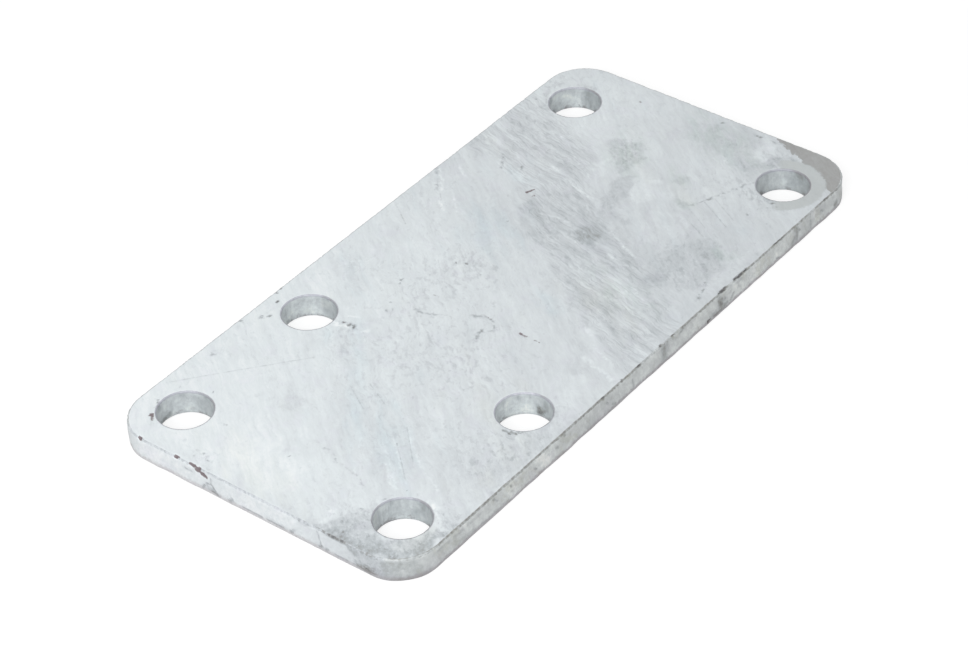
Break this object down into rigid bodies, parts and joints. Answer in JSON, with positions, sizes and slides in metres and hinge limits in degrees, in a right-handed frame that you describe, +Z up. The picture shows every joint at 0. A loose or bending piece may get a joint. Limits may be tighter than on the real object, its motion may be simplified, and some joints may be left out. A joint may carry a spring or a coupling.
{
  "type": "rectangular cover plate",
  "caption": "Flat rectangular steel cover plate with rounded corners, plain bolt holes at its corners and a second pair further in along its long edges, galvanised.",
  "frame": {"origin": "centre of the plate's underside", "axes": "+X along the length, towards the end with the wider margin outside its pair of holes; +Y across the width; +Z up through the thickness, out of the top face"},
  "size_m": [0.225, 0.11, 0.008],
  "materials": {
    "galvanised_steel": "hot-dip galvanised, matt pale grey with mottling, feathered streaks, scratches and a bare grey corner"
  },
  "bodies": {
    "root": {"cover_plate": "galvanised_steel"}
  },
  "joints": []
}
